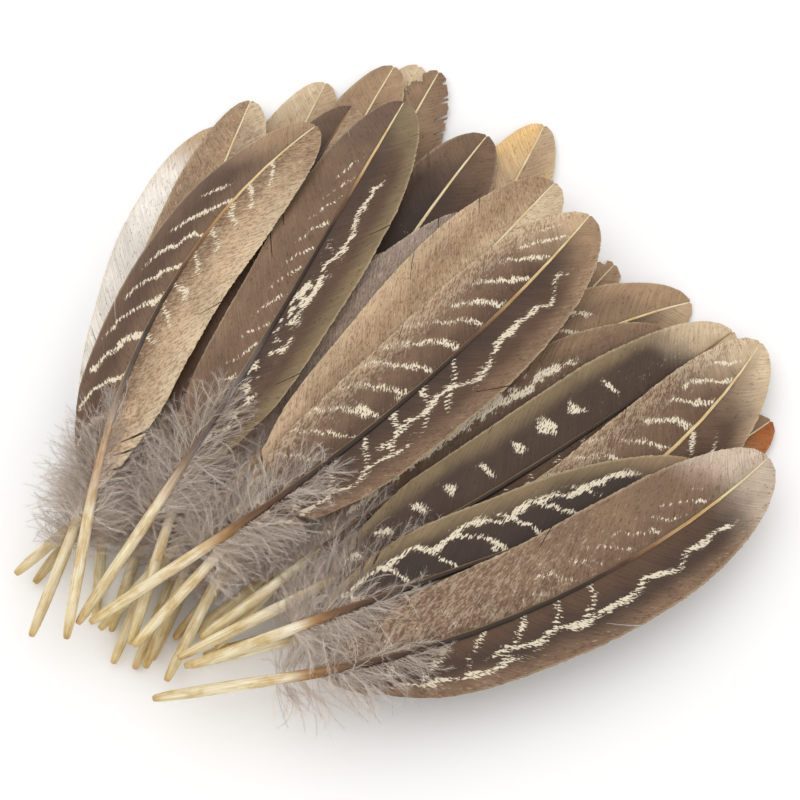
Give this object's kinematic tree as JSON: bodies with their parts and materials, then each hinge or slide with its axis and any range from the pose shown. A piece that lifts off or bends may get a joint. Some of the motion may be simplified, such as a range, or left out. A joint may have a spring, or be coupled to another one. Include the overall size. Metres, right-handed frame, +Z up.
{
  "type": "bunch of quill feathers",
  "caption": "Loose fanned bunch of uncut wing-feather quills: hollow straw-coloured barrels, tapering shafts and barred brown vanes, downy at the base.",
  "frame": {"origin": "middle of the heap's bounding box, on the ground it lies on", "axes": "+Z up from the ground; the quill ends lie towards -X and -Y and the vanes fan out towards +X and +Y"},
  "size_m": [0.1844, 0.1812, 0.0235],
  "materials": {
    "quill_horn": "satin horn, straw at the quill end, brown along the vane, cream at the tip",
    "vane_barbs": "matt feather barbs, brown and tan with cream bars, taupe down at the base"
  },
  "bodies": {
    "pile": {"feather_01_shaft": "quill_horn", "feather_01_vane": "vane_barbs", "feather_02_shaft": "quill_horn", "feather_02_vane": "vane_barbs", "feather_03_shaft": "quill_horn", "feather_03_vane": "vane_barbs", "feather_04_shaft": "quill_horn", "feather_04_vane": "vane_barbs", "feather_05_shaft": "quill_horn", "feather_05_vane": "vane_barbs", "feather_06_shaft": "quill_horn", "feather_06_vane": "vane_barbs", "feather_07_shaft": "quill_horn", "feather_07_vane": "vane_barbs", "feather_08_shaft": "quill_horn", "feather_08_vane": "vane_barbs", "feather_09_shaft": "quill_horn", "feather_09_vane": "vane_barbs", "feather_10_shaft": "quill_horn", "feather_10_vane": "vane_barbs", "feather_11_shaft": "quill_horn", "feather_11_vane": "vane_barbs", "feather_12_shaft": "quill_horn", "feather_12_vane": "vane_barbs", "feather_13_shaft": "quill_horn", "feather_13_vane": "vane_barbs", "feather_14_shaft": "quill_horn", "feather_14_vane": "vane_barbs", "feather_15_shaft": "quill_horn", "feather_15_vane": "vane_barbs", "feather_16_shaft": "quill_horn", "feather_16_vane": "vane_barbs", "feather_17_shaft": "quill_horn", "feather_17_vane": "vane_barbs", "feather_18_shaft": "quill_horn", "feather_18_vane": "vane_barbs"},
    "feather_19": {"feather_19_shaft": "quill_horn", "feather_19_vane": "vane_barbs"},
    "feather_20": {"feather_20_shaft": "quill_horn", "feather_20_vane": "vane_barbs"},
    "feather_21": {"feather_21_shaft": "quill_horn", "feather_21_vane": "vane_barbs"},
    "feather_22": {"feather_22_shaft": "quill_horn", "feather_22_vane": "vane_barbs"},
    "feather_23": {"feather_23_shaft": "quill_horn", "feather_23_vane": "vane_barbs"},
    "feather_24": {"feather_24_shaft": "quill_horn", "feather_24_vane": "vane_barbs"},
    "feather_25": {"feather_25_shaft": "quill_horn", "feather_25_vane": "vane_barbs"}
  },
  "joints": [
    {"name": "feather_19_lift", "type": "slide", "parent": "pile", "child": "feather_19", "axis": [0, 0, 1], "range_m": [0, 0.03]},
    {"name": "feather_20_lift", "type": "slide", "parent": "feather_19", "child": "feather_20", "axis": [0, 0, 1], "range_m": [0, 0.03]},
    {"name": "feather_21_lift", "type": "slide", "parent": "pile", "child": "feather_21", "axis": [0, 0, 1], "range_m": [0, 0.03]},
    {"name": "feather_22_lift", "type": "slide", "parent": "feather_20", "child": "feather_22", "axis": [0, 0, 1], "range_m": [0, 0.03]},
    {"name": "feather_23_lift", "type": "slide", "parent": "feather_21", "child": "feather_23", "axis": [0, 0, 1], "range_m": [0, 0.03]},
    {"name": "feather_24_lift", "type": "slide", "parent": "pile", "child": "feather_24", "axis": [0, 0, 1], "range_m": [0, 0.03]},
    {"name": "feather_25_lift", "type": "slide", "parent": "feather_22", "child": "feather_25", "axis": [0, 0, 1], "range_m": [0, 0.03]}
  ]
}
